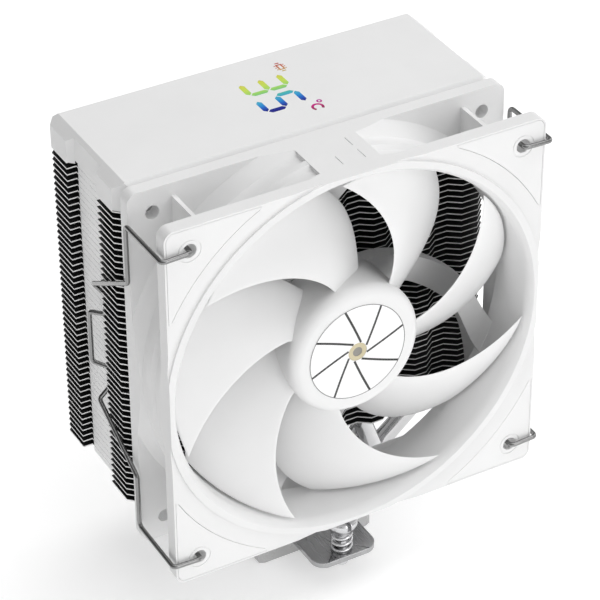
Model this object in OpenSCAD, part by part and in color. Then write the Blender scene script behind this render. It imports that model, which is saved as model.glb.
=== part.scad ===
// Single-tower CPU cooler with one 120 mm fan, four 6 mm heat pipes and a
// temperature display in its top cover. Millimetres, +Z up.
// Origin: centre of the contact face of the cold plate. The fan is on the -Y
// side and blows towards +Y. X runs across the cooler's width.

/* [Fan] */
// Side of the square fan frame
fan_size = 120; // [119.5:0.5:120.5]
// Depth of the fan frame
fan_depth = 25.6; // [25:0.1:26]
// Distance between neighbouring corner holes
hole_pitch = 105; // [104.8:0.1:105.2]
// Radius of the corner holes
hole_r = 2.15; // [2.1:0.05:2.3]
// Thickness of each corner flange
flange_t = 4.4; // [3.6:0.1:5]
// Throat radius of the duct
throat_r = 57.3; // [57:0.1:57.8]
// Number of impeller blades
blade_count = 7; // [5:1:9]
// Radius at the blade tips
tip_r = 56.6; // [56:0.1:56.7]
// Outer radius of the hub
hub_r = 21; // [20:0.5:22]
// Number of curved struts behind the impeller
strut_count = 4; // [3:1:5]

/* [Fin stack] */
// Number of fins
fin_count = 50; // [40:1:50]
// Thickness of one fin
fin_t = 0.4; // [0.3:0.05:0.5]
// Height of the underside of the lowest fin
fin_z0 = 37.4; // [36:0.1:40]
// Height of the top of the highest fin
fin_top = 138; // [138:1:138]
// Half width of the fins across X
fin_hx = 60; // [60:0.5:60]
// Depth of the wave along the fins' front and rear edges
wave_depth = 2.6; // [1:0.1:3]

/* [Heat pipes] */
// Diameter of a heat pipe
pipe_d = 6; // [6:0.1:6]
// Height of the pipe axes above the contact face
pipe_z = 4.2; // [4.2:0.1:4.4]
// Height of the pipe tips
pipe_top = 143; // [142:0.5:143.5]

/* [Base] */
// Half width of the base across X
base_hx = 19.5; // [19:0.5:20]
// Half length of the base along Y
base_hy = 24.5; // [22:0.5:25]
// Height of the base block's side ridges
base_h = 12; // [11:0.5:13]

/* [Mounting bracket] */
// Width of the bracket
bracket_w = 21.4; // [18:0.2:21.4]
// Length of the bracket
bracket_l = 89; // [87:1:92]
// Thickness of the bracket
bracket_t = 2; // [1.5:0.1:2]
// Distance between the two spring screws
screw_span = 80; // [80:1:80]
// Radius of the spring screw's thread
thread_r = 1.95; // [1.9:0.05:1.95]
// Turns in a screw spring
spring_turns = 3.5; // [3:0.5:4]

/* [Top cover] */
// Height of the cover's top face
cover_top = 147.5; // [147:0.1:147.8]
// Wall thickness of the cover
cover_wall = 1.8; // [1.6:0.1:2]
// Bevel along the cover's top edges
cover_bevel = 2.6; // [1.5:0.1:3]

/* [Display] */
// Length of one digit along X
digit_len = 13; // [12:0.5:13]
// Width of one digit along Y, between the stroke centres
digit_wid = 6.6; // [6:0.1:7.3]
// Stroke width of a display segment
stroke = 1.8; // [1.2:0.1:2]

/* [Fan clips] */
// Radius of the clip wire
wire_r = 0.7; // [0.6:0.05:0.75]

/* [Hidden] */
$fn = 64;

// Front face of the fan and height of its centre
fan_y = -49.5;
fan_z = 148 - fan_size / 2;
// Half of the hole pitch
hp = hole_pitch / 2;
pipe_r = pipe_d / 2;
// Running clearance between soldered or slid-on pieces
gap = 0.05;
fin_pitch = (fin_top - fin_t - fin_z0) / (fin_count - 1);
// Plan of the fin stack: front and rear ridges, side recess
fin_y0 = -22.6;
fin_y1 = 22.6;
rec_y0 = -8.6;
rec_y1 = 10.2;
rec_x = 57;
bracket_z = 8.2;
// Spring screw heights
spring_z0 = bracket_z + bracket_t;
spring_z1 = 16.9;
screw_tip = 4.4;
// Whites, metals
white = "#f1f1f1";
nickel = "#c9cacc";

function unit(v) = v / norm(v);
function smooth(a, b, u) = a + (b - a) * u;

// ---------- helpers ----------
// Moves children drawn about the fan's centre, on its front face, into place
module at_fan() translate([0, fan_y, fan_z]) children();
// Turns a shape drawn along +Z so that it runs along +Y; drawn +Y becomes -Z
module along_y() rotate([-90, 0, 0]) children();
// Cylinder along +Y from y0 to y1
module ycyl(r, y0, y1) translate([0, y0, 0]) along_y() cylinder(r = r, h = y1 - y0);
// Ring along +Y
module yring(ro, ri, y0, y1) difference() { ycyl(ro, y0, y1); ycyl(ri, y0 - 1, y1 + 1); }
// Flat rounded rectangle
module rrect(w, h, r) {
    square([w - 2 * r, h], center = true);
    square([w, h - 2 * r], center = true);
    for (sx = [-1, 1], sy = [-1, 1]) translate([sx * (w / 2 - r), sy * (h / 2 - r)]) circle(r = r);
}
// Square plate in the fan's plane, from y0 to y1
module fan_plate(s, r, y0, y1) translate([0, y0, 0]) along_y() linear_extrude(y1 - y0) rrect(s, s, r);

// Rod of radius r swept along points p, with bend radius b[i] at point i.
// Each bend is sampled every `st` degrees; frames are carried along the path.
function tan_len(p, b, i) = let(d0 = unit(p[i] - p[i - 1]), d1 = unit(p[i + 1] - p[i]), a = acos(max(-1, min(1, d0 * d1)))) b[i] * tan(a / 2);
// Path samples as [point, direction]
function bend_samples(p, b, i, st) = let(
    d0 = unit(p[i] - p[i - 1]), d1 = unit(p[i + 1] - p[i]), a = acos(max(-1, min(1, d0 * d1))),
    e3 = unit(cross(d0, d1)), e1 = -unit(cross(e3, d0)), s = p[i] - d0 * tan_len(p, b, i), c = s - e1 * b[i], n = ceil(a / st))
    [for (k = [0:n]) let(t = a * k / n) [c + b[i] * (e1 * cos(t) + d0 * sin(t)), d0 * cos(t) - e1 * sin(t)]];
function rod_samples(p, b, st) = concat(
    [[p[0], unit(p[1] - p[0])]],
    [for (i = [1:len(p) - 2]) each bend_samples(p, b, i, st)],
    [[p[len(p) - 1], unit(p[len(p) - 1] - p[len(p) - 2])]]);
// Side vector of each sample, carried along without twist
function carry(q, i = 0, e = [0, 0, 0], out = []) = i == len(q) ? out :
    let(d = q[i][1], h = i == 0 ? (abs(d[2]) < 0.9 ? cross([0, 0, 1], d) : cross([1, 0, 0], d)) : e - (e * d) * d, n = unit(h))
    carry(q, i + 1, n, concat(out, [n]));
// tips: extra rings [offset back along the rod, radius factor] that round both ends
module bent_rod(p, b, r, m = 12, st = 20, tips = []) {
    q0 = rod_samples(p, b, st);
    k = len(q0); t = len(tips);
    q = concat(
        [for (i = [t - 1:-1:0]) [q0[0][0] - q0[0][1] * tips[i][0], q0[0][1]]], q0,
        [for (i = [0:1:t - 1]) [q0[k - 1][0] + q0[k - 1][1] * tips[i][0], q0[k - 1][1]]]);
    f = concat([for (i = [t - 1:-1:0]) tips[i][1]], [for (i = [1:k]) 1], [for (i = [0:1:t - 1]) tips[i][1]]);
    e = carry(q);
    pts = [for (i = [0:len(q) - 1], j = [0:m - 1]) let(a = 360 * (j + 0.5) / m) q[i][0] + r * f[i] * (cos(a) * e[i] + sin(a) * cross(q[i][1], e[i]))];
    polyhedron(points = pts, faces = concat(
        [[for (j = [0:m - 1]) j]],
        [for (i = [0:len(q) - 2], j = [0:m - 1]) let(u = i * m + j, v = i * m + (j + 1) % m) each [[u, u + m, v], [v, u + m, v + m]]],
        [[for (j = [m - 1:-1:0]) (len(q) - 1) * m + j]]));
}

// ---------- base and heat pipes ----------
// Plan of the base, with its cut corners
module base_plan() polygon([for (q = [[1, 1], [-1, 1], [-1, -1], [1, -1]]) each
    (q[0] * q[1] > 0 ? [[q[0] * base_hx, q[1] * (base_hy - 0.8)], [q[0] * (base_hx - 1.7), q[1] * base_hy]]
                     : [[q[0] * (base_hx - 1.7), q[1] * base_hy], [q[0] * base_hx, q[1] * (base_hy - 0.8)]])]);
pipe_base_y = [-10.9, -3.5, 3.5, 10.9];
module pipe_grooves() for (y = pipe_base_y) translate([-30, y, pipe_z]) rotate([0, 90, 0]) cylinder(r = pipe_r + gap, h = 60);

module cold_plate() color("#d9b8a0") difference() {
    linear_extrude(pipe_z) base_plan();
    pipe_grooves();
}
module base_block() color("#e4e5e7") difference() {
    translate([0, 0, pipe_z]) linear_extrude(base_h - pipe_z) base_plan();
    pipe_grooves();
    // channel that the bracket lies in
    translate([-bracket_w / 2 - 0.1, -40, bracket_z]) cube([bracket_w + 0.2, 80, 20]);
    // sloped outer shoulders
    for (s = [-1, 1]) translate([s * base_hx, 0, base_h]) rotate([0, 45, 0]) cube([3, 80, 3], center = true);
    for (x = [-6, 6], y = [-19.5, 19.5]) translate([x, y, 5]) cylinder(r = 1.27, h = 10);
}

// Leg places in the fin stack: outer and inner legs
outer_leg = [47, 8];
inner_leg = [24, 10.8];
function pipe_path(lx, ly, kx, kz, by) = [
    [-lx, ly, pipe_top - pipe_r], [-lx, ly, kz], [-kx, by, pipe_z], [kx, by, pipe_z], [lx, ly, kz], [lx, ly, pipe_top - pipe_r]];
// Rounded pipe tips: ring offsets and radius factors of a half ball
ball = [for (a = [20:20:80]) [pipe_r * sin(a), cos(a)]];
module heat_pipe(lx, ly, kx, kz, by, rb) color(nickel)
    bent_rod(pipe_path(lx, ly, kx, kz, by), [0, 14, rb, rb, 14, 0], pipe_r / cos(180 / 28), 28, 8, ball);
module heat_pipe_1() heat_pipe(inner_leg[0], -inner_leg[1], 32.3, 30, pipe_base_y[0], 9);
module heat_pipe_2() heat_pipe(outer_leg[0], -outer_leg[1], 25.4, 29, pipe_base_y[1], 12.5);
module heat_pipe_3() heat_pipe(outer_leg[0], outer_leg[1], 25.4, 29, pipe_base_y[2], 12.5);
module heat_pipe_4() heat_pipe(inner_leg[0], inner_leg[1], 32.3, 30, pipe_base_y[3], 9);

// ---------- fins ----------
// One wave period: ridge and valley flats joined by slopes; c is the ridge's centre
function wave_edge(y, d) = [for (c = [-52.5:15:52.5]) each
    [if (c > -52) [c - 5.5, y + d], if (c > -52) [c - 2, y], if (c < 52) [c + 2, y], if (c < 52) [c + 5.5, y + d]]];
module fin_plan() difference() {
    polygon(concat(
        [[-fin_hx, fin_y0 + 4], [-fin_hx + 4, fin_y0]],
        wave_edge(fin_y0, wave_depth),
        [[fin_hx - 4, fin_y0], [fin_hx, fin_y0 + 4],
         [fin_hx, rec_y0], [rec_x, rec_y0], [rec_x, rec_y1], [fin_hx, rec_y1],
         [fin_hx, fin_y1 - 2.8], [fin_hx - 2.8, fin_y1]],
        [for (q = wave_edge(-fin_y1, wave_depth)) [-q[0], -q[1]]],
        [[-fin_hx + 2.8, fin_y1], [-fin_hx, fin_y1 - 2.8],
         [-fin_hx, rec_y1], [-rec_x, rec_y1], [-rec_x, rec_y0], [-fin_hx, rec_y0]]));
    for (sx = [-1, 1], sy = [-1, 1]) {
        translate([sx * outer_leg[0], sy * outer_leg[1]]) circle(r = pipe_r + gap, $fn = 32);
        translate([sx * inner_leg[0], sy * inner_leg[1]]) circle(r = pipe_r + gap, $fn = 32);
    }
}
module fin(i) translate([0, 0, fin_z0 + i * fin_pitch]) {
    linear_extrude(fin_t) fin_plan();
    // folded tabs that close the side recess and set the spacing
    for (s = [-1, 1]) translate([s * (rec_x - fin_t / 2) - fin_t / 2, rec_y0 + 1, -fin_pitch + fin_t + 0.06])
        cube([fin_t, rec_y1 - rec_y0 - 2, fin_pitch - 0.06]);
}
module fins() color(white) for (i = [0:fin_count - 1]) fin(i);

// ---------- top cover and display ----------
// Plan of the cover, grown inwards by w; the side recess is kept apart
module cover_plan(w) {
    x = fin_hx - w; y0 = -23.3 + w; y1 = 23 - w;
    c0 = 5 - 0.41 * w; c1 = 3 - 0.41 * w;
    polygon([[-x, y0 + c0], [-x + c0, y0], [x - c0, y0], [x, y0 + c0], [x, y1 - c1], [x - c1, y1], [-x + c1, y1], [-x, y1 - c1]]);
}
// Profile with two bevelled upper corners, w across and h high
module arch(w, h, bx, bz) polygon([[-w / 2, -1], [w / 2, -1], [w / 2, h - bz], [w / 2 - bx, h], [-w / 2 + bx, h], [-w / 2, h - bz]]);
module cover_body(w) intersection() {
    h = cover_top - w - fin_top;
    k = 1 - 0.41 * w / cover_bevel;
    linear_extrude(h) cover_plan(w);
    translate([0, 50, 0]) rotate([90, 0, 0]) linear_extrude(100) arch(2 * (fin_hx - w), h, (cover_bevel + 0.4) * k, cover_bevel * k);
    translate([-70, -0.15, 0]) rotate([90, 0, 90]) linear_extrude(140) arch(46.3 - 2 * w, h, (cover_bevel - 0.2) * k, cover_bevel * k);
}
// Side recess that carries on the one in the fins
module side_recess(w, h) for (s = [-1, 1]) scale([s, 1, 1]) translate([0, 0, -1]) linear_extrude(h + 1)
    polygon([[rec_x + 1.2 - w, rec_y0], [rec_x + 1.2 - w, rec_y1 - 2], [fin_hx + 0.2, rec_y1], [70, rec_y1], [70, rec_y0]]);

// Display geometry: text up is +X, text right is -Y
disp_x = 0.3;
digit_y = [5.4, -4.85];
hd = digit_len / 2 - stroke / 2 + 0.45;
hw = digit_wid / 2;
// Segment outline between two stroke ends, with pointed ends
module bar(a, b) {
    d = unit(b - a); n = [-d[1], d[0]]; t = stroke / 2; e = 0.25;
    a1 = a + d * e; b1 = b - d * e;
    polygon([a1, a1 + d * t + n * t, b1 - d * t + n * t, b1, b1 - d * t - n * t, a1 + d * t - n * t]);
}
// Stroke ends of segments a to g of one digit
function seg_ends(k) =
    k == 0 ? [[hd, hw], [hd, -hw]] : k == 1 ? [[hd, -hw], [0, -hw]] : k == 2 ? [[0, -hw], [-hd, -hw]] :
    k == 3 ? [[-hd, hw], [-hd, -hw]] : k == 4 ? [[0, hw], [-hd, hw]] : k == 5 ? [[hd, hw], [0, hw]] : [[0, hw], [0, -hw]];
lit = [[0, 1, 2, 3, 6], [0, 2, 3, 5, 6]];
module digit_segments(which) for (k = which) bar(seg_ends(k)[0], seg_ends(k)[1]);
// Degree ring and unit arc
module unit_mark() {
    translate([9.6, -10]) difference() { circle(r = 0.85, $fn = 24); circle(r = 0.35, $fn = 24); }
    translate([7.7, -12.6]) difference() {
        circle(r = 1.9, $fn = 32); circle(r = 1.1, $fn = 32);
        polygon([[0, 0], [2.4, -2.6], [-2.4, -2.6]]);
    }
}
// Small chip pictogram: a square ring with two rows of pins
module chip_mark() translate([9.3, 11.9]) {
    difference() { square([1.9, 3.1], center = true); square([0.9, 2.1], center = true); }
    for (y = [-1.05, 0, 1.05], s = [-1, 1]) translate([s * 1.35, y]) square([0.5, 0.4], center = true);
    for (s = [-1, 1]) translate([0, s * 2.25]) square([1.3, 0.5], center = true);
}
module digit_marks() for (i = [0, 1]) translate([disp_x, digit_y[i]]) digit_segments(lit[i]);
module small_marks() {
    unit_mark();
    chip_mark();
}
// Depth of the small marks, which stay above a thin skin
mark_t = 0.9;
boss_xy = [[-13.5, -15.5], [-13.5, 15.5], [15, -15.5], [15, 15.5]];
ceil_z = cover_top - cover_wall;

module top_cover() color(white) difference() {
    union() {
        translate([0, 0, fin_top]) difference() {
            cover_body(0);
            difference() {
                cover_body(cover_wall);
                // thicker side wall behind the recess
                for (s = [-1, 1]) translate([s * 58, 0.8, 3]) cube([6.4, 23, 20], center = true);
            }
            translate([0, 0, -2]) linear_extrude(3) cover_plan(cover_wall);
            side_recess(0, 20);
        }
        // sockets that push onto the outer pipe tips
        for (sx = [-1, 1], sy = [-1, 1]) translate([sx * outer_leg[0], sy * outer_leg[1], 139.5]) cylinder(r = 4.6, h = ceil_z - 139.4);
        // bosses for the circuit board
        for (q = boss_xy) translate([q[0], q[1], 142.45]) cylinder(r = 2.2, h = ceil_z - 142.35);
    }
    for (sx = [-1, 1], sy = [-1, 1]) translate([sx * outer_leg[0], sy * outer_leg[1], 138]) cylinder(r = pipe_r + gap, h = 6);
    for (q = boss_xy) translate([q[0], q[1], 142]) cylinder(r = 0.85, h = 2.8);
    translate([0, 0, 140]) linear_extrude(20) digit_marks();
    translate([0, 0, cover_top - mark_t]) linear_extrude(5) small_marks();
}
module display_segments() color("#4ec0c8") {
    translate([0, 0, ceil_z]) linear_extrude(cover_wall) digit_marks();
    translate([0, 0, cover_top - mark_t]) linear_extrude(mark_t) small_marks();
}
module light_guide() color("#e8e8e8") difference() {
    translate([-8.5, -15, 142.6]) cube([20.5, 30, ceil_z - 142.65]);
    for (i = [0, 1]) translate([disp_x, digit_y[i], 140]) linear_extrude(10) digit_segments([0:6]);
    translate([8, -12, 140]) cube([5, 5.2, 20], center = true);
    translate([9.3, 11.9, 140]) cube([3, 4, 20], center = true);
}
module display_pcb() color("#20402c") difference() {
    translate([-16.5, -18, 141.2]) cube([34, 36, 1.2]);
    for (q = boss_xy) translate([q[0], q[1], 140]) cylinder(r = 1.15, h = 5);
}
module display_leds() color("#f4e9b0") {
    for (i = [0, 1], k = [0:6]) let(e = seg_ends(k), m = (e[0] + e[1]) / 2)
        translate([disp_x + m[0], digit_y[i] + m[1], 142.8]) cube([0.9, 0.9, 0.7], center = true);
    for (q = [[7.8, -12.2], [9.3, 11.9]]) translate([q[0], q[1], 142.8]) cube([0.9, 0.9, 0.7], center = true);
}
module display_screws() color("#8f9296") for (q = boss_xy) translate([q[0], q[1], 0]) {
    translate([0, 0, 140.3]) difference() {
        cylinder(r = 1.9, h = 0.85);
        for (a = [0, 90]) rotate(a) cube([2.2, 0.5, 0.9], center = true);
    }
    translate([0, 0, 141.1]) cylinder(r = 0.82, h = 3.3);
}

// ---------- mounting hardware ----------
module mounting_bracket() color("#8d9093") difference() {
    translate([0, 0, bracket_z + 0.02]) linear_extrude(bracket_t - 0.02) rrect(bracket_w, bracket_l, 4.4);
    for (s = [-1, 1]) translate([0, s * screw_span / 2, 0]) cylinder(r = thread_r + 0.08, h = 30);
    for (x = [-6, 6], y = [-19.5, 19.5]) translate([x, y, 0]) {
        cylinder(r = 1.35, h = 30);
        translate([0, 0, 9.05]) cylinder(r1 = 1.35, r2 = 2.65, h = 1.3);
    }
}
module bracket_screws() color("#b9bcc0") for (x = [-6, 6], y = [-19.5, 19.5]) translate([x, y, 0]) {
    translate([0, 0, 5.3]) cylinder(r = 1.25, h = 4);
    difference() {
        translate([0, 0, 9.12]) cylinder(r1 = 1.25, r2 = 2.25, h = 1);
        translate([0, 0, 10.1]) for (a = [0, 90]) rotate(a) cube([2.4, 0.5, 1], center = true);
    }
}
// Captive screw: slotted head, plain neck inside the spring, clip groove, thread end
module spring_screw(y) color("#cfd1d4") translate([0, y, 0]) difference() {
    rotate_extrude() polygon([
        [0, screw_tip], [thread_r - 0.4, screw_tip], [thread_r, screw_tip + 0.4], [thread_r, 7.5],
        [1.45, 7.5], [1.45, 8.18], [thread_r, 8.18], [thread_r, spring_z1],
        [3.45, spring_z1], [3.6, spring_z1 + 0.5], [4.7, spring_z1 + 2.9], [4.7, spring_z1 + 4.3], [4.3, spring_z1 + 4.8], [0, spring_z1 + 4.8]]);
    translate([0, 0, spring_z1 + 4.8]) cube([1.3, 12, 4.6], center = true);
}
module spring_screw_front() spring_screw(-screw_span / 2);
module spring_screw_rear() spring_screw(screw_span / 2);

// Coil spring swept along its helix
spring_r = 2.95;
spring_w = 0.44;
module screw_spring(y) color("#e2e3e5") translate([0, y, 0]) {
    n = 18 * spring_turns; m = 8;
    z0 = spring_z0 + spring_w + 0.03; z1 = spring_z1 - spring_w - 0.03;
    pts = [for (i = [0:n]) let(u = i / n, a = 360 * spring_turns * u,
            // closed end turns, open middle turns
            w = u < 0.14 ? 0 : u > 0.86 ? 1 : (u - 0.14) / 0.72, z = z0 + (z1 - z0) * w)
        for (j = [0:m - 1]) let(b = 360 * j / m, rr = spring_r + spring_w * cos(b)) [rr * cos(a), rr * sin(a), z + spring_w * sin(b)]];
    polyhedron(points = pts, faces = concat(
        [[for (j = [0:m - 1]) j]],
        [for (i = [0:n - 1], j = [0:m - 1]) let(a = i * m + j, b = i * m + (j + 1) % m) [a, a + m, b + m, b]],
        [[for (j = [m - 1:-1:0]) n * m + j]]));
}
module screw_spring_front() screw_spring(-screw_span / 2);
module screw_spring_rear() screw_spring(screw_span / 2);

module e_clip(y) color("#77797c") translate([0, y, 7.56]) difference() {
    cylinder(r = 3.4, h = 0.58);
    translate([0, 0, -1]) cylinder(r = 1.52, h = 3);
    translate([0, -5, 0]) cube([2.2, 10, 3], center = true);
    for (a = [60, 180, 300]) rotate(a + 30) translate([2.5, 0, -1]) cylinder(r = 0.5, h = 3, $fn = 24);
}
module e_clip_front() e_clip(-screw_span / 2);
module e_clip_rear() e_clip(screw_span / 2);

// ---------- fan, drawn about its own centre on its front face ----------
rear_y = fan_depth;
rf_y = fan_depth - flange_t + 0.3;
// Front mouth: from the edge ring to the throat
mouth_r = 61.7;
module duct_bore() along_y() rotate_extrude($fn = 128) {
    // straight throat
    translate([0, -1]) square([throat_r, fan_depth + 2]);
    // rounded mouth
    difference() {
        translate([0, -1]) square([mouth_r, 4.4]);
        translate([mouth_r, 3.4]) circle(r = mouth_r - throat_r);
        translate([mouth_r - 1, 3.4]) square([10, 10]);
    }
}
// Flare at the rear, cut off by the flat sides
flare_y = 17.7;
flare_half = 58.2;
module rear_flare() intersection() {
    along_y() rotate_extrude($fn = 128) polygon([[0, flare_y], [throat_r, flare_y], [throat_r + 1.1 * (fan_depth + 0.1 - flare_y), fan_depth + 0.1], [0, fan_depth + 0.1]]);
    translate([-flare_half, 10, -flare_half]) cube([2 * flare_half, 20, 2 * flare_half]);
}
// Groove round the mouth, open at the flat sides
module lip_groove() along_y() rotate_extrude($fn = 128) polygon([[60.9, -0.5], [61.05, 0.6], [61.6, 0.65], [63.4, -0.05], [63.4, -0.5]]);
// Outside of the duct between the flanges, with two grooves round it
module duct_wall() intersection() {
    along_y() rotate_extrude($fn = 128) difference() {
        translate([40, 3]) square([21.2, rear_y - 6]);
        for (y = [8.6, 16.4]) polygon([[62, y - 4.4], [59.4, y - 1.5], [59.4, y + 1.5], [62, y + 4.4]]);
        translate([60.6, 11]) square([3, 3]);
    }
    fan_plate(fan_size - 0.02, 3, 0, rear_y);
}
// Outside of the flare, up to the rear flange
module flare_wall() intersection() {
    along_y() rotate_extrude($fn = 128) polygon([[50, 18], [59.25, 18], [66.7, 24.8], [50, 24.8]]);
    fan_plate(fan_size - 0.02, 3, 0, rear_y);
}
// Curved rear struts: constant-angle spirals
strut_a = 51.5;
function strut_th(r) = 11.2 - strut_a * ln(r / 31.7) - 0.36 * max(0, r - 47);
strut_hw = 4;
module strut() {
    n = 14; r0 = 19.6; r1 = 67;
    rs = [for (i = [0:n]) r0 + (r1 - r0) * i / n];
    function edge(r, s) = let(a = strut_th(r) + s * strut_hw / (r * 0.743) * 180 / PI) [r * cos(a), -r * sin(a)];
    intersection() {
        translate([0, 14, 0]) along_y() linear_extrude(12)
            polygon(concat([for (r = rs) edge(r, 1)], [for (i = [n:-1:0]) edge(rs[i], -1)]));
        // front face, swept up to the duct wall at the outer end
        along_y() rotate_extrude($fn = 128) polygon([[15, 20.6], [51.3, 20.6], [53.5, 20.1], [55.3, 18.9], [56.5, 17.2], [57.1, 14.9],
            [58.6, 14.9], [58.9, 18.2], [66.2, 24.8], [15, 24.8]]);
        translate([-59.3, 0, -59.3]) cube([118.6, 40, 118.6]);
    }
}
module corner_holes(r, y0, y1) for (sx = [-1, 1], sz = [-1, 1]) translate([sx * hp, 0, sz * hp]) ycyl(r, y0, y1, $fn = 48);
// Outline of one corner pad, grown by g
pad_x = 59.3;
module pad_plan(g) for (sx = [-1, 1], sy = [-1, 1]) scale([sx, sy]) intersection() {
    translate([pad_x / 2 + 8, pad_x / 2 + 8]) rrect(pad_x - 16 + 2 * g, pad_x - 16 + 2 * g, 2.4 + g);
    difference() { square(80); circle(r = 66.3 - g, $fn = 128); }
    polygon([[30.6 - g, 70], [30.6 - g, 59.6 + g - 0.2], [33.6 - g, 55], [55, 33.6 - g], [59.6 + g - 0.2, 30.6 - g], [70, 30.6 - g], [70, 70]]);
}
pad_t = 1.2;
module fan_frame() color(white) at_fan() {
    difference() {
        union() {
            fan_plate(fan_size, 3, 0, flange_t);
            fan_plate(fan_size, 3, rf_y, rear_y);
            duct_wall();
            flare_wall();
            // flat bridge at the middle of the top side
            translate([-9.6, 2, 52]) cube([19.2, rear_y - 4, fan_size / 2 - 52 - 0.02]);
            // webs between the flanges
            for (sx = [-1, 1], sz = [-1, 1]) translate([sx * 46 - 0.6, 2, sz > 0 ? 37.1 : -56]) cube([1.2, rear_y - 4, 18.9]);
        }
        duct_bore();
        rear_flare();
        lip_groove();
        corner_holes(hole_r, -1, rear_y + 1);
        // pockets for the corner pads
        translate([0, -1, 0]) along_y() linear_extrude(1 + pad_t + 0.05) pad_plan(0.12);
        // short relief marks on the bridge
        for (q = [[5.5, 13.8], [5.5, 6.8], [-1.7, 6.6]]) translate([q[0] - 0.15, q[1], fan_size / 2 - 0.4]) cube([0.3, 4.6, 1]);
    }
    // motor base and bearing tube
    difference() {
        union() {
            ycyl(20.6, 22.2, rear_y - 0.2);
            yring(20.6, 19.4, 19.2, 22.4);
            ycyl(5.6, 8.4, 23);
            for (k = [0:strut_count - 1]) rotate([0, k * 360 / strut_count, 0]) difference() { strut(); ycyl(19.6, 10, 40); }
        }
        ycyl(4.1, 7, 24.2);
        ycyl(5.2, 24.1, 27);
    }
}
module corner_pads() color("#f6f6f6") at_fan() difference() {
    along_y() linear_extrude(pad_t) pad_plan(0);
    corner_holes(hole_r, -1, 3);
    // shallow ring round each hole
    for (sx = [-1, 1], sz = [-1, 1]) translate([sx * hp, 0, sz * hp]) yring(3.6, 3.1, -1, 0.25, $fn = 48);
}

// Blade sections: leading and trailing edge angle and depth at span s = 0 to 1
function lead_th(s) = 52.9 + 40.7 * s + 1.2 * s * s;
function lead_y(s) = 5.4 - 6.6 * s + 3 * s * s;
function trail_th(s) = 18.6 + 25.4 * s - 7.4 * s * s + 20 * s * s * s;
function trail_y(s) = 12.5 + 11.7 * s - 9.7 * s * s;
blade_r0 = 20.3;
// Point on a blade face: span s, chord u, side k (+1 front, -1 rear)
function blade_pt(s, u, k) = let(
    r = blade_r0 + (tip_r - blade_r0) * s,
    th = smooth(lead_th(s), trail_th(s), u),
    y = smooth(lead_y(s), trail_y(s), 0.8 * u + 0.2 * u * u),
    t = (1.7 - 0.6 * s) * sqrt(max(0, 1 - pow(2 * u - 1, 4))) / 2 + 0.12,
    arc = (lead_th(s) - trail_th(s)) * PI / 180 * r, dy = trail_y(s) - lead_y(s), l = sqrt(arc * arc + dy * dy),
    a = th + k * t * dy / l / r * 180 / PI)
    [r * cos(a), y - k * t * arc / l, r * sin(a)];
module blade() {
    ns = 9; nu = 7; w = nu + 1; h = (ns + 1) * w;
    pts = concat([for (i = [0:ns], j = [0:nu]) blade_pt(i / ns, j / nu, 1)], [for (i = [0:ns], j = [0:nu]) blade_pt(i / ns, j / nu, -1)]);
    polyhedron(points = pts, faces = concat(
        [for (i = [0:ns - 1], j = [0:nu - 1]) let(a = i * w + j) each [[a, a + w, a + w + 1], [a, a + w + 1, a + 1]]],
        [for (i = [0:ns - 1], j = [0:nu - 1]) let(a = h + i * w + j) each [[a + 1, a + w + 1, a + w], [a + 1, a + w, a]]],
        [for (i = [0:ns - 1]) let(a = i * w) [a, a + h, a + h + w, a + w]],
        [for (i = [0:ns - 1]) let(a = i * w + nu) [a, a + w, a + h + w, a + h]],
        [for (j = [0:nu - 1]) [j, j + 1, j + 1 + h, j + h]],
        [for (j = [0:nu - 1]) let(a = ns * w + j) [a, a + h, a + h + 1, a + 1]]));
}
hub_y = 1.15;
module impeller() color(white) at_fan() {
    difference() {
        along_y() rotate_extrude() difference() {
            union() {
                translate([0, hub_y]) square([hub_r - 3.4, 17.4]);
                translate([0, hub_y + 3.4]) square([hub_r, 14]);
                translate([hub_r - 3.4, hub_y + 3.4]) circle(r = 3.4);
            }
            translate([0, hub_y + 1.6]) square([hub_r - 1.55, 30]);
            translate([-1, 0]) square([3.95, 10]);
        }
    }
    for (k = [0:blade_count - 1]) rotate([0, -k * 360 / blade_count, 0]) blade();
}
module hub_label() color("#fbfbfb") at_fan() yring(15.6, 2.98, hub_y - 0.15, hub_y - 0.01);
module rotor_yoke() color("#a9acb0") at_fan() difference() {
    ycyl(19.4, hub_y + 1.62, 17.6);
    ycyl(18.4, hub_y + 2.6, 20);
    ycyl(2.95, 0, 10);
}
module rotor_magnet() color("#3c3c40") at_fan() yring(18.35, 16.9, 5.2, 17);
module rotor_bushing() color("#d9bd7c") at_fan() difference() {
    union() { ycyl(2.9, hub_y - 0.1, 6.6); ycyl(4.4, hub_y + 2.62, 4.6); }
    ycyl(1.52, 0, 10);
}
module fan_shaft() color("#b5b7ba") at_fan() difference() {
    ycyl(1.5, hub_y - 0.05, 22.8);
    yring(3, 1.2, 21.6, 22.2);
}
module shaft_clip() color("#d8d8d0") at_fan() difference() {
    yring(2.8, 1.24, 21.65, 22.1);
    translate([0, 22, -2]) cube([1.6, 3, 4], center = true);
}
module bearing_sleeve() color("#b98a4a") at_fan() yring(4.05, 1.55, 8.8, 21.2);
module stator_core() color("#85888c") at_fan() difference() {
    intersection() {
        ycyl(16.3, 10.5, 15.5);
        union() {
            ycyl(8.2, 10.5, 15.5);
            for (a = [0, 90]) rotate([0, a, 0]) translate([0, 13, 0]) cube([40, 10, 4.6], center = true);
            difference() {
                yring(16.3, 14.6, 10.5, 15.5);
                for (a = [45, 135]) rotate([0, a, 0]) cube([40, 60, 3.2], center = true);
            }
        }
    }
    ycyl(5.65, 0, 30);
}
module stator_coils() color("#b87333") at_fan() for (a = [0:90:270]) rotate([0, a, 0]) translate([11.2, 13, 0]) difference() {
    cube([5.2, 8.6, 8.2], center = true);
    cube([7, 5.1, 4.7], center = true);
}
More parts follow.
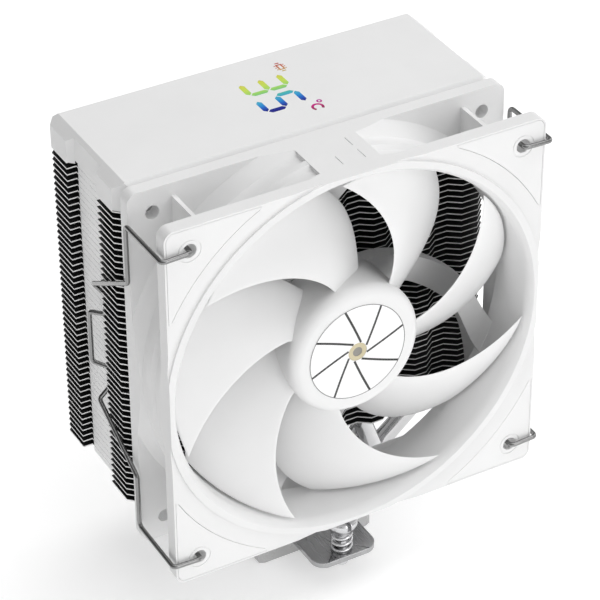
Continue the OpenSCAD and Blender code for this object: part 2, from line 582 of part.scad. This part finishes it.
module fan_pcb() color("#1f5a3a") at_fan() yring(15.4, 6.2, 19.6, 20.6);
module bearing_cap() color("#eeeeee") at_fan() ycyl(5.12, 24.2, rear_y - 0.25);

// Wire clip, drawn on the -X side
module wire_clip() {
    x = -61.35; yf = fan_y - 1.1; yb = -29.2; xg = -58.2; yg = -6.9; zt = fan_z + hp; zb = fan_z - hp;
    p = [[-hp, fan_y + 3.3, zt], [-hp, yf, zt], [x, yf, zt - 0.3], [x, yb, zt - 0.6], [x, yb, 121],
        [x + 0.15, -5.8, 107], [xg, yg, 103], [xg, yg, 96], [x, -2.6, 95.5], [x, -2.6, 78],
        [xg, yg, 77.5], [xg, yg, 70.5], [x + 0.15, -5.8, 66.5], [x, yb, 54], [x, yb, zb + 0.6], [x, yf, zb + 0.3], [-hp, yf, zb], [-hp, fan_y + 3.3, zb]];
    b = [0, 1.3, 1.3, 1.8, 1.8, 1.2, 1.2, 1.2, 1.2, 1.2, 1.2, 1.2, 1.2, 1.8, 1.8, 1.3, 1.3, 0];
    bent_rod(p, b, wire_r, 12, 22);
}
module wire_clip_left() color("#b4b6b9") wire_clip();
module wire_clip_right() color("#b4b6b9") mirror([1, 0, 0]) wire_clip();

cold_plate();
base_block();
heat_pipe_1();
heat_pipe_2();
heat_pipe_3();
heat_pipe_4();
fins();
top_cover();
display_segments();
light_guide();
display_pcb();
display_leds();
display_screws();
mounting_bracket();
bracket_screws();
spring_screw_front();
spring_screw_rear();
screw_spring_front();
screw_spring_rear();
e_clip_front();
e_clip_rear();
fan_frame();
corner_pads();
impeller();
hub_label();
rotor_yoke();
rotor_magnet();
rotor_bushing();
fan_shaft();
shaft_clip();
bearing_sleeve();
stator_core();
stator_coils();
fan_pcb();
bearing_cap();
wire_clip_left();
wire_clip_right();
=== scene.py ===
import math
import random

import bmesh
import bpy
from mathutils import Matrix, Vector


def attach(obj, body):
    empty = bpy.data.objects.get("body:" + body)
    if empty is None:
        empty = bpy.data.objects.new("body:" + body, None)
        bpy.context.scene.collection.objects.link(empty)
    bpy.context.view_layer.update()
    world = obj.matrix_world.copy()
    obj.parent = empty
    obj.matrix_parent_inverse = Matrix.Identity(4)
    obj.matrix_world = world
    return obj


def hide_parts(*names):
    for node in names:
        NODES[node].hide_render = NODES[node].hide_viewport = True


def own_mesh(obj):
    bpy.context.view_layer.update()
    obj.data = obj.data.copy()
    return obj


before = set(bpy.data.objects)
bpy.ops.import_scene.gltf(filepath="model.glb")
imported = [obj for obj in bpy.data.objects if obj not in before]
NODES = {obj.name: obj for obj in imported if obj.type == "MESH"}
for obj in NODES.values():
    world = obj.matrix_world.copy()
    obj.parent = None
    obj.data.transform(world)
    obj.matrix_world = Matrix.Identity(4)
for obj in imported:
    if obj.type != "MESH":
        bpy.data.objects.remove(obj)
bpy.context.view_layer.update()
random.seed(7)
MM = 0.001
FY, FZ = -49.5, 88.0  # fan's front face and centre height, mm

# ------------------------------------------------------------------ materials


def socket(node, *names):
    for n in names:
        if n in node.inputs:
            return node.inputs[n]
    return None


class Mat:
    """A procedural material: a Principled surface with noise-driven colour, roughness and relief."""

    def __init__(self, name, color, rough=0.5, metal=0.0):
        self.m = bpy.data.materials.new(name)
        self.m.use_nodes = True
        self.t = self.m.node_tree
        self.n = self.t.nodes
        self.l = self.t.links
        self.b = self.n["Principled BSDF"]
        self.b.inputs["Base Color"].default_value = (*color, 1)
        self.b.inputs["Roughness"].default_value = rough
        self.b.inputs["Metallic"].default_value = metal
        self.color = color
        self.tc = self.n.new("ShaderNodeTexCoord")
        self.vec = self.tc.outputs["Object"]

    def set(self, **kw):
        for k, v in kw.items():
            s = socket(self.b, k.replace("_", " "))
            if s is not None:
                s.default_value = v
        return self

    def scaled(self, sx, sy, sz, rot=(0, 0, 0)):
        mp = self.n.new("ShaderNodeMapping")
        mp.inputs["Scale"].default_value = (sx, sy, sz)
        mp.inputs["Rotation"].default_value = rot
        self.l.new(self.vec, mp.inputs["Vector"])
        return mp.outputs["Vector"]

    def noise(self, scale, detail=4.0, rough=0.55, vec=None):
        t = self.n.new("ShaderNodeTexNoise")
        t.inputs["Scale"].default_value = scale
        t.inputs["Detail"].default_value = detail
        t.inputs["Roughness"].default_value = rough
        self.l.new(vec or self.vec, t.inputs["Vector"])
        return t.outputs["Fac"]

    def ramp(self, fac, stops):
        r = self.n.new("ShaderNodeValToRGB")
        e = r.color_ramp.elements
        while len(e) < len(stops):
            e.new(0.5)
        for el, (p, c) in zip(e, stops):
            el.position = p
            el.color = (*c, 1) if len(c) == 3 else c
        self.l.new(fac, r.inputs["Fac"])
        return r.outputs["Color"]

    def rng(self, fac, lo, hi, a=0.3, b=0.7):
        r = self.n.new("ShaderNodeMapRange")
        r.inputs["From Min"].default_value = a
        r.inputs["From Max"].default_value = b
        r.inputs["To Min"].default_value = lo
        r.inputs["To Max"].default_value = hi
        self.l.new(fac, r.inputs["Value"])
        return r.outputs["Result"]

    def math(self, op, a, b=0.0):
        m = self.n.new("ShaderNodeMath")
        m.operation = op
        for i, v in enumerate((a, b)):
            if isinstance(v, (int, float)):
                m.inputs[i].default_value = v
            else:
                self.l.new(v, m.inputs[i])
        return m.outputs["Value"]

    def mix(self, fac, a, b):
        m = self.n.new("ShaderNodeMix")
        m.data_type = "RGBA"
        for idx, v in ((0, fac), (6, a), (7, b)):
            if isinstance(v, (int, float)):
                m.inputs[idx].default_value = v
            elif isinstance(v, tuple):
                m.inputs[idx].default_value = (*v, 1) if len(v) == 3 else v
            else:
                self.l.new(v, m.inputs[idx])
        return m.outputs[2]

    def colour(self, out):
        self.l.new(out, self.b.inputs["Base Color"])
        return self

    def roughness(self, out):
        self.l.new(out, self.b.inputs["Roughness"])
        return self

    def bump(self, *heights):
        """heights: (output, distance in metres, strength)"""
        prev = None
        for out, dist, strength in heights:
            b = self.n.new("ShaderNodeBump")
            b.inputs["Distance"].default_value = dist
            b.inputs["Strength"].default_value = strength
            self.l.new(out, b.inputs["Height"])
            if prev is not None:
                self.l.new(prev, b.inputs["Normal"])
            prev = b.outputs["Normal"]
        self.l.new(prev, self.b.inputs["Normal"])
        return self

    def sep(self, vec=None):
        s = self.n.new("ShaderNodeSeparateXYZ")
        self.l.new(vec or self.vec, s.inputs["Vector"])
        return s.outputs


def plastic(name, color=(0.86, 0.86, 0.86), rough=0.42, grain=0.35, tone=0.012):
    """Moulded plastic: fine spark-eroded grain, faint tone drift, slightly uneven gloss."""
    m = Mat(name, color, rough)
    drift = m.noise(38, 3)
    lo = tuple(max(0, c - tone) for c in color)
    hi = tuple(min(1, c + tone) for c in color)
    m.colour(m.ramp(drift, [(0.35, lo), (0.65, hi)]))
    m.roughness(m.rng(m.noise(260, 4), rough - 0.06, rough + 0.06))
    fine = m.noise(5200, 3, 0.6)
    mid = m.noise(1500, 2, 0.5)
    m.bump((fine, 0.00003, grain), (mid, 0.00002, grain * 0.6))
    m.set(Specular_IOR_Level=0.45)
    return m


def metal(name, color, rough=0.25, brush=None, tone=0.03, grain=0.25):
    """Metal with brushed or turned marks along one axis and small gloss changes."""
    m = Mat(name, color, rough, 1.0)
    drift = m.noise(60, 4)
    lo = tuple(max(0, c - tone) for c in color)
    hi = tuple(min(1, c + tone) for c in color)
    m.colour(m.ramp(drift, [(0.3, lo), (0.7, hi)]))
    v = m.scaled(*brush) if brush else None
    marks = m.noise(900 if not brush else 1.0, 5, 0.6, v)
    m.roughness(m.rng(marks, max(0.03, rough - 0.07), rough + 0.08))
    m.bump((marks, 0.00003, grain))
    return m


white_frame = plastic("white_frame", (0.84, 0.84, 0.84), 0.46, 0.35)
white_blade = plastic("white_blade", (0.86, 0.86, 0.86), 0.36, 0.22)
white_cover = plastic("white_cover", (0.85, 0.85, 0.85), 0.5, 0.55)
white_pad = plastic("white_pad", (0.86, 0.86, 0.86), 0.62, 0.5)
nickel = metal("nickel_pipe", (0.58, 0.58, 0.585), 0.13, None, 0.02, 0.08)
plate_metal = metal("nickel_plate", (0.50, 0.50, 0.50), 0.28, (60, 3500, 60), 0.02, 0.2)
base_metal = metal("base_aluminium", (0.62, 0.62, 0.62), 0.36, None, 0.015, 0.5)
bracket_metal = metal("bracket_steel", (0.40, 0.40, 0.405), 0.24, (3000, 40, 40), 0.03, 0.12)
screw_metal = metal("screw_steel", (0.66, 0.66, 0.67), 0.24, (300, 300, 4000), 0.03, 0.15)
wire_metal = metal("wire_steel", (0.27, 0.27, 0.27), 0.2, None, 0.03, 0.12)
spring_metal = metal("spring_steel", (0.78, 0.78, 0.79), 0.18, None, 0.03, 0.1)
dark_metal = metal("clip_steel", (0.28, 0.28, 0.29), 0.35, None, 0.03, 0.2)
brass = metal("brass", (0.60, 0.54, 0.38), 0.4, (400, 4000, 400), 0.03, 0.15)
shaft_metal = metal("shaft_steel", (0.30, 0.29, 0.27), 0.35, (400, 4000, 400), 0.03, 0.15)
bronze = metal("bronze", (0.62, 0.42, 0.22), 0.45, None, 0.05, 0.4)
core_metal = metal("core_steel", (0.45, 0.45, 0.47), 0.4, (30, 9000, 30), 0.05, 0.5)
copper = metal("copper_wire", (0.72, 0.36, 0.18), 0.3, (30, 5000, 30), 0.06, 0.8)
magnet_mat = plastic("magnet", (0.05, 0.05, 0.055), 0.7, 0.6, 0.01)
guide_mat = plastic("guide_plastic", (0.75, 0.75, 0.73), 0.5, 0.3)
board_mat = plastic("board", (0.02, 0.10, 0.05), 0.35, 0.3, 0.008)
led_mat = plastic("led", (0.85, 0.80, 0.60), 0.3, 0.1)
label_mat = plastic("label_film", (0.97, 0.97, 0.97), 0.3, 0.12, 0.006)
ink_mat = plastic("label_ink", (0.035, 0.035, 0.035), 0.4, 0.1, 0.01)
ink_soft = plastic("label_ink_soft", (0.20, 0.20, 0.20), 0.4, 0.1, 0.01)


def fin_material():
    """White-coated fin edges; the fin flats above the lowest fin's underside are painted near-black, as painted
    shade for the gaps between the fins.
    """
    m = Mat("fin_coat_and_gap_shade", (0.82, 0.82, 0.82), 0.5)
    g = m.n.new("ShaderNodeNewGeometry")
    nz = m.n.new("ShaderNodeSeparateXYZ")
    m.l.new(g.outputs["Normal"], nz.inputs["Vector"])
    flat = m.math("GREATER_THAN", m.math("ABSOLUTE", nz.outputs["Z"]), 0.7)
    xyz = m.sep()
    above = m.math("GREATER_THAN", xyz["Z"], 0.0376)
    # painted shade: flat fin faces above the lowest fin's underside get a near-black colour for the shadow in the
    # gaps between fins
    dark = m.math("MULTIPLY", flat, above)
    edge = m.ramp(m.noise(120, 3), [(0.3, (0.90, 0.90, 0.90)), (0.7, (0.95, 0.95, 0.95))])
    # near-black painted shade colour for the fin flats
    painted_gap_shade = m.ramp(m.noise(90, 3), [(0.3, (0.012, 0.012, 0.012)), (0.7, (0.022, 0.022, 0.022))])
    m.colour(m.mix(dark, edge, painted_gap_shade))
    m.roughness(m.rng(m.noise(500, 4), 0.42, 0.58))
    m.bump((m.noise(4000, 2), 0.00002, 0.25))
    return m


fin_mat = fin_material()


def lin(r, g, b):
    """Screen colour (0 to 255) to the linear values the shader takes."""
    return tuple((c / 255 / 12.92) if c / 255 <= 0.04045 else ((c / 255 + 0.055) / 1.055) ** 2.4 for c in (r, g, b))


def display_material():
    """Lit strokes: one run of colour along the reading direction (-Y), warm to green, cyan, blue and magenta."""
    m = Mat("display", (0.3, 0.8, 0.7), 0.4)
    xyz = m.sep()
    f = m.math("ADD", m.math("MULTIPLY", xyz["Y"], -1 / 0.030), 0.5)
    col = m.ramp(f, [
        (0.03, lin(168, 58, 48)), (0.10, lin(186, 100, 56)), (0.18, lin(182, 156, 66)), (0.257, lin(198, 204, 76)),
        (0.32, lin(188, 210, 82)), (0.39, lin(162, 206, 92)), (0.433, lin(136, 198, 100)), (0.50, lin(88, 188, 148)),
        (0.54, lin(62, 172, 172)), (0.597, lin(54, 154, 194)), (0.64, lin(32, 134, 198)), (0.687, lin(20, 88, 184)),
        (0.74, lin(12, 36, 134)), (0.797, lin(14, 10, 124)), (0.804, lin(14, 10, 124))])
    unit = m.ramp(f, [(0.80, lin(168, 30, 150)), (0.88, lin(186, 16, 118)), (0.96, lin(132, 18, 70))])
    col = m.mix(m.math("LESS_THAN", xyz["Y"], -0.0091), col, unit)
    m.colour(col)
    glow = m.rng(m.noise(900, 3), 0.10, 0.18)
    m.l.new(col, socket(m.b, "Emission Color", "Emission"))
    m.l.new(glow, m.b.inputs["Emission Strength"])
    m.bump((m.noise(5200, 3), 0.00003, 0.3))
    m.set(Specular_IOR_Level=0.25)
    return m


display_mat = display_material()

NODE_MATS = {
    "cold_plate": plate_metal, "base_block": base_metal,
    "heat_pipe_1": nickel, "heat_pipe_2": nickel, "heat_pipe_3": nickel, "heat_pipe_4": nickel,
    "fins": fin_mat, "top_cover": white_cover, "display_segments": display_mat, "light_guide": guide_mat,
    "display_pcb": board_mat, "display_leds": led_mat, "display_screws": screw_metal,
    "mounting_bracket": bracket_metal, "bracket_screws": screw_metal,
    "spring_screw_front": screw_metal, "spring_screw_rear": screw_metal,
    "screw_spring_front": spring_metal, "screw_spring_rear": spring_metal,
    "e_clip_front": dark_metal, "e_clip_rear": dark_metal,
    "fan_frame": white_frame, "corner_pads": white_pad, "impeller": white_blade, "hub_label": label_mat,
    "rotor_yoke": dark_metal, "rotor_magnet": magnet_mat, "rotor_bushing": brass, "fan_shaft": shaft_metal,
    "shaft_clip": guide_mat, "bearing_sleeve": bronze, "stator_core": core_metal, "stator_coils": copper,
    "fan_pcb": board_mat, "bearing_cap": white_frame, "wire_clip_left": wire_metal, "wire_clip_right": wire_metal,
}
for name, mat in NODE_MATS.items():
    o = NODES[name]
    o.data.materials.clear()
    o.data.materials.append(mat.m)


def soften(name, width, segments=2, angle=28):
    """Rounds a CAD piece's edges with a modifier; its own vertices stay as they are."""
    o = NODES[name]
    w = o.modifiers.new("weld", "WELD")
    w.merge_threshold = 2e-6
    b = o.modifiers.new("bevel", "BEVEL")
    b.width = width * MM
    b.segments = segments
    b.limit_method = "ANGLE"
    b.angle_limit = math.radians(angle)
    b.use_clamp_overlap = True
    b.harden_normals = False
    for p in o.data.polygons:
        p.use_smooth = True
    s = o.modifiers.new("wn", "WEIGHTED_NORMAL")
    s.keep_sharp = True
    s.weight = 90


# ------------------------------------------------------------------ mesh helpers


def new_mesh(name, verts, faces, mat, body, smooth=True):
    me = bpy.data.meshes.new(name)
    me.from_pydata([tuple(c * MM for c in v) for v in verts], [], faces)
    me.validate()
    me.update()
    o = bpy.data.objects.new(name, me)
    bpy.context.scene.collection.objects.link(o)
    bm = bmesh.new()
    bm.from_mesh(me)
    bmesh.ops.remove_doubles(bm, verts=bm.verts, dist=1e-7)
    bmesh.ops.recalc_face_normals(bm, faces=bm.faces)
    bm.to_mesh(me)
    bm.free()
    for p in me.polygons:
        p.use_smooth = smooth
    if smooth:
        me.set_sharp_from_angle(angle=math.radians(40))
    me.materials.append(mat.m)
    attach(o, body)
    return o


def path_samples(p, bends, step):
    """Points and directions along a rounded path."""
    p = [Vector(q) for q in p]
    out = [(p[0], (p[1] - p[0]).normalized())]
    for i in range(1, len(p) - 1):
        d0 = (p[i] - p[i - 1]).normalized()
        d1 = (p[i + 1] - p[i]).normalized()
        a = math.acos(max(-1, min(1, d0.dot(d1))))
        if a < 1e-6:
            continue
        b = bends[i]
        tl = b * math.tan(a / 2)
        e3 = d0.cross(d1).normalized()
        e1 = -(e3.cross(d0)).normalized()
        s = p[i] - d0 * tl
        c = s - e1 * b
        n = max(2, math.ceil(math.degrees(a) / step))
        for k in range(n + 1):
            t = a * k / n
            out.append((c + b * (e1 * math.cos(t) + d0 * math.sin(t)), d0 * math.cos(t) - e1 * math.sin(t)))
    out.append((p[-1], (p[-1] - p[-2]).normalized()))
    return out


def sweep(samples, radii, m):
    """Tube round the samples; returns verts, faces in mm."""
    verts, faces = [], []
    e = None
    for (q, d), r in zip(samples, radii):
        if e is None:
            h = Vector((0, 0, 1)) if abs(d.z) < 0.9 else Vector((1, 0, 0))
            e = h.cross(d).normalized()
        else:
            e = (e - d * e.dot(d)).normalized()
        f = d.cross(e)
        for j in range(m):
            a = 2 * math.pi * j / m
            verts.append(tuple(q + (e * math.cos(a) + f * math.sin(a)) * r))
    n = len(samples)
    for i in range(n - 1):
        for j in range(m):
            a, b = i * m + j, i * m + (j + 1) % m
            faces.append((a, a + m, b + m, b))
    faces.append(tuple(range(m)))
    faces.append(tuple((n - 1) * m + j for j in reversed(range(m))))
    return verts, faces


# ------------------------------------------------------------------ impeller


def lerp(a, b, u):
    return a + (b - a) * u


R_ROOT, R_TIP = 20.3, 56.6


def blade_point(s, u, k, phi):
    r = lerp(R_ROOT, R_TIP, s)
    lt = 52.9 + 40.7 * s + 1.2 * s * s
    ly = 5.4 - 6.6 * s + 3 * s * s
    tt = 18.6 + 25.4 * s - 7.4 * s * s + 20 * s ** 3
    ty = 12.5 + 11.7 * s - 9.7 * s * s
    th = lerp(lt, tt, u)
    y = lerp(ly, ty, 0.8 * u + 0.2 * u * u)
    round_u = math.sqrt(max(0.0, 1 - abs(2 * u - 1) ** 6))
    t = (1.7 - 0.6 * s) * round_u / 2
    t += 0.9 * math.exp(-max(0, r - 21.0) / 0.9) * round_u  # fillet at the hub
    if s > 0.985:
        t *= math.sqrt(max(0.0, 1 - ((s - 0.985) / 0.015) ** 2 * 0.85))
    arc = math.radians(lt - tt) * r
    dy = ty - ly
    ln = math.hypot(arc, dy)
    a = math.radians(th + phi) + k * t * dy / ln / r
    return (r * math.cos(a), FY + y - k * t * arc / ln, FZ + r * math.sin(a))


def blades():
    verts, faces = [], []
    ss = [0, 0.008, 0.018, 0.03, 0.05] + [0.05 + 0.935 * i / 30 for i in range(1, 31)] + [0.99, 0.995, 0.9985, 1.0]
    nu = 34
    us = [0.5 - 0.5 * math.cos(math.pi * j / nu) for j in range(nu + 1)]
    for k in range(7):
        base = len(verts)
        phi = 360 / 7 * k
        ring = [(u, 1) for u in us] + [(u, -1) for u in reversed(us[1:-1])]
        m = len(ring)
        for s in ss:
            for u, side in ring:
                verts.append(blade_point(s, u, side, phi))
        for i in range(len(ss) - 1):
            for j in range(m):
                a = base + i * m + j
                b = base + i * m + (j + 1) % m
                faces.append((a, a + m, b + m, b))
        top = base + (len(ss) - 1) * m
        faces.append(tuple(top + j for j in range(m)))
        faces.append(tuple(base + j for j in reversed(range(m))))
    return new_mesh("impeller_blades", verts, faces, white_blade, "rotor")


def lathe(name, profile, mat, body, n=128, smooth=True):
    """Turns (radius, y) points round the fan's axis; y is measured from the fan's front face."""
    verts, faces = [], []
    m = len(profile)
    for i in range(n):
        a = 2 * math.pi * i / n
        for r, y in profile:
            verts.append((r * math.cos(a), FY + y, FZ + r * math.sin(a)))
    for i in range(n):
        for j in range(m - 1):
            a, b = i * m + j, ((i + 1) % n) * m + j
            faces.append((a, b, b + 1, a + 1))
    return new_mesh(name, verts, faces, mat, body, smooth)


HUB_Y = 1.15
hub_profile = [(2.95, HUB_Y + 1.6), (2.95, HUB_Y + 0.1), (3.05, HUB_Y)]
# shallow step where the label sits, then the rounded rim
hub_profile += [(15.75, HUB_Y), (15.85, HUB_Y - 0.0), (16.1, HUB_Y + 0.02), (17.6, HUB_Y + 0.02)]
hub_profile += [(17.6 + 3.4 * math.sin(a), HUB_Y + 3.4 - 3.4 * math.cos(a)) for a in [math.radians(q) for q in range(9, 91, 9)]]
hub_profile += [(21.0, 18.2), (20.85, 18.5), (20.6, 18.55), (19.7, 18.55), (19.5, 18.35), (19.45, 18.0), (19.45, HUB_Y + 1.6), (2.95, HUB_Y + 1.6)]
hub = lathe("impeller_hub", hub_profile, white_blade, "rotor", 160)
bl = blades()
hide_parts("impeller")

# ------------------------------------------------------------------ hub label print


def label_print():
    """A thin printed ring and eight swirl strokes on the label."""
    y = HUB_Y - 0.155
    t = 0.012
    verts, faces = [], []

    def strip(points, w):
        """Flat ribbon, slightly raised, along points in the label's plane."""
        base = len(verts)
        n = len(points)
        for i, (x, z) in enumerate(points):
            a = Vector(points[max(0, i - 1)])
            b = Vector(points[min(n - 1, i + 1)])
            d = (b - a).normalized()
            px, pz = -d.y * w / 2, d.x * w / 2
            for s in (1, -1):
                verts.append((x + s * px, FY + y - t, FZ + z + s * pz))
            for s in (1, -1):
                verts.append((x + s * px, FY + y + 0.02, FZ + z + s * pz))
        for i in range(n - 1):
            a, b = base + i * 4, base + (i + 1) * 4
            faces.extend([(a, b, b + 1, a + 1), (a, a + 2, b + 2, b), (a + 1, b + 1, b + 3, a + 3)])
        faces.append((base, base + 1, base + 3, base + 2))
        e = base + (n - 1) * 4
        faces.append((e, e + 2, e + 3, e + 1))

    for k in range(8):
        a0 = math.radians(60.5 + 45 * k)
        a1 = a0 - math.radians(35)
        p0 = Vector((15.4 * math.cos(a0), 15.4 * math.sin(a0)))
        p1 = Vector((3.15 * math.cos(a1), 3.15 * math.sin(a1)))
        pts = []
        for i in range(13):
            u = i / 12
            q = p0.lerp(p1, u)
            # slight bow
            d = (p1 - p0).normalized()
            q = q + Vector((-d.y, d.x)) * (0.12 * math.sin(math.pi * u))
            pts.append((q.x, q.y))
        strip(pts, 0.68)
    o = new_mesh("label_swirl", verts, faces, ink_mat, "rotor", False)
    for r, w in ((15.44, 0.24),):
        prof = [(r - w / 2, y), (r - w / 2, y - t), (r + w / 2, y - t), (r + w / 2, y)]
        lathe("label_ring", prof, ink_soft, "rotor", 160, False)


label_print()

# ------------------------------------------------------------------ wires, springs, pipes


def wire_clip(side):
    x, yf, yb, xg, yg = -61.35, FY - 1.1, -29.2, -58.2, -6.9
    hp = 52.5
    zt, zb = FZ + hp, FZ - hp
    p = [(-hp, FY + 3.3, zt), (-hp, yf, zt), (x, yf, zt - 0.3), (x, yb, zt - 0.6), (x, yb, 121),
         (x + 0.15, -5.8, 107), (xg, yg, 103), (xg, yg, 96), (x, -2.6, 95.5), (x, -2.6, 78),
         (xg, yg, 77.5), (xg, yg, 70.5), (x + 0.15, -5.8, 66.5), (x, yb, 54), (x, yb, zb + 0.6),
         (x, yf, zb + 0.3), (-hp, yf, zb), (-hp, FY + 3.3, zb)]
    b = [0, 1.3, 1.3, 1.8, 1.8, 1.2, 1.2, 1.2, 1.2, 1.2, 1.2, 1.2, 1.2, 1.8, 1.8, 1.3, 1.3, 0]
    if side > 0:
        p = [(-q[0], q[1], q[2]) for q in p]
    s = path_samples(p, b, 9)
    r = [0.7] * len(s)
    # cut ends with a small chamfer
    d0, d1 = s[0][1], s[-1][1]
    s = [(s[0][0], d0), (s[0][0] + d0 * 0.25, d0)] + s[1:-1] + [(s[-1][0] - d1 * 0.25, d1), (s[-1][0], d1)]
    r = [0.45] + [0.695] * (len(s) - 2) + [0.45]
    v, f = sweep(s, r, 20)
    name = "left" if side < 0 else "right"
    o = new_mesh("clip_wire_" + name, v, f, wire_metal, "clip_" + name)
    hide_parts("wire_clip_" + name)


wire_clip(-1)
wire_clip(1)

PIPE_Y = [-10.9, -3.5, 3.5, 10.9]


def heat_pipe(i, lx, ly, kx, kz, rb):
    top = 143.0
    by = PIPE_Y[i - 1]
    p = [(-lx, ly, top - 3), (-lx, ly, kz), (-kx, by, 4.2), (kx, by, 4.2), (lx, ly, kz), (lx, ly, top - 3)]
    s = path_samples(p, [0, 14, rb, rb, 14, 0], 4)
    r = [3.0] * len(s)
    for t in range(1, 10):
        a = math.radians(t * 9.9)
        # swaged, sealed tip
        s.append((Vector((lx, ly, top - 3 + 3 * math.sin(a))), Vector((0, 0, 1))))
        s.insert(0, (Vector((-lx, ly, top - 3 + 3 * math.sin(a))), Vector((0, 0, -1))))
    tips = [3.0 * math.cos(math.radians(t * 9.9)) for t in range(1, 10)]
    r = list(reversed(tips)) + r + tips
    v, f = sweep(s, r, 36)
    o = new_mesh(f"pipe_{i}", v, f, nickel, "cooler")
    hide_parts(f"heat_pipe_{i}")


heat_pipe(1, 24, -10.8, 32.3, 30, 9)
heat_pipe(2, 47, -8, 25.4, 29, 12.5)
heat_pipe(3, 47, 8, 25.4, 29, 12.5)
heat_pipe(4, 24, 10.8, 32.3, 30, 9)


def spring(name, y):
    turns, rr, w = 3.5, 2.95, 0.44
    z0, z1 = 10.2 + w + 0.03, 16.9 - w - 0.03
    n = 170
    s, r = [], []
    for i in range(n + 1):
        u = i / n
        a = 2 * math.pi * turns * u
        k = 0 if u < 0.14 else 1 if u > 0.86 else (u - 0.14) / 0.72
        s.append(Vector((rr * math.cos(a), y + rr * math.sin(a), z0 + (z1 - z0) * k)))
    smp = []
    for i in range(n + 1):
        d = (s[min(n, i + 1)] - s[max(0, i - 1)]).normalized()
        smp.append((s[i], d))
    v, f = sweep(smp, [w] * (n + 1), 16)
    o = new_mesh("coil_" + name, v, f, spring_metal, "cooler")
    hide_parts("screw_spring_" + name)
    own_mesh(o)


spring("front", -40)
spring("rear", 40)

# ------------------------------------------------------------------ CAD pieces with softened edges
soften("fan_frame", 0.35, 2, 30)
soften("top_cover", 0.28, 2, 20)
soften("corner_pads", 0.2, 2, 30)
soften("cold_plate", 0.2, 2, 30)
soften("base_block", 0.25, 2, 30)
soften("mounting_bracket", 0.25, 2, 30)
for q in ("spring_screw_front", "spring_screw_rear", "bracket_screws", "e_clip_front", "e_clip_rear"):
    soften(q, 0.12, 2, 25)

# ------------------------------------------------------------------ stage, light, camera


def floor():
    me = bpy.data.meshes.new("floor")
    me.from_pydata([(-6, -6, 0), (6, -6, 0), (6, 6, 0), (-6, 6, 0)], [], [(0, 1, 2, 3)])
    o = bpy.data.objects.new("floor", me)
    bpy.context.scene.collection.objects.link(o)
    m = Mat("floor_paper", (0.93, 0.93, 0.93), 0.9)
    m.roughness(m.rng(m.noise(30, 3), 0.85, 0.95))
    m.b.inputs["Emission Color"].default_value = (1, 1, 1, 1)
    m.b.inputs["Emission Strength"].default_value = FLOOR_GLOW
    me.materials.append(m.m)
    return o


def area(name, loc, target, size, power, color=(1, 1, 1)):
    d = bpy.data.lights.new(name, "AREA")
    d.shape = "RECTANGLE"
    d.size, d.size_y = size
    d.energy = power
    d.color = color
    o = bpy.data.objects.new(name, d)
    o.location = loc
    o.rotation_euler = (Vector(target) - Vector(loc)).to_track_quat("-Z", "Y").to_euler()
    bpy.context.scene.collection.objects.link(o)
    return o


FLOOR_GLOW = 0.36
floor()
bpy.context.scene.view_settings.view_transform = "Standard"
world = bpy.data.worlds.new("studio")
bpy.context.scene.world = world
world.use_nodes = True
wt = world.node_tree
bg = wt.nodes["Background"]
bg.inputs["Strength"].default_value = 1.0
# soft box room: brighter to the right and front, dimmer to the left
tc = wt.nodes.new("ShaderNodeTexCoord")
dot = wt.nodes.new("ShaderNodeVectorMath")
dot.operation = "DOT_PRODUCT"
dot.inputs[1].default_value = Vector((0.75, -0.55, 0.35)).normalized()
wt.links.new(tc.outputs["Generated"], dot.inputs[0])
rm = wt.nodes.new("ShaderNodeMapRange")
rm.inputs["From Min"].default_value = -1
rm.inputs["From Max"].default_value = 1
rm.inputs["To Min"].default_value = 0.03
rm.inputs["To Max"].default_value = 0.66
wt.links.new(dot.outputs["Value"], rm.inputs["Value"])
wt.links.new(rm.outputs["Result"], bg.inputs["Strength"])
bg.inputs["Color"].default_value = (1, 1, 1, 1)
aim = (0, -0.02, 0.08)
area("key_front", (0.45, -1.5, 0.9), aim, (0.9, 0.9), 5.0)
area("top_soft", (0.3, 0.1, 1.7), aim, (1.4, 1.4), 12.5)
area("rim_right", (1.5, 0.2, 0.9), aim, (0.8, 1.2), 4)
area("front_low", (-0.15, -1.6, 0.25), aim, (2.0, 0.9), 2.6)

cam_d = bpy.data.cameras.new("camera")
cam = bpy.data.objects.new("camera", cam_d)
bpy.context.scene.collection.objects.link(cam)
right = Vector((0.87031868, -0.4924636, -0.00499997))
up = Vector((0.28581579, 0.49679525, 0.81945336))
back = Vector((-0.401067, -0.71461464, 0.57312406))
rot = Matrix((right, up, back)).transposed()
cam.matrix_world = Matrix.Translation(Vector((-0.3304564, -0.6042115, 0.5579799))) @ rot.to_4x4()
cam_d.sensor_width = 36
cam_d.lens = 169.87
cam_d.clip_end = 20
bpy.context.scene.camera = cam
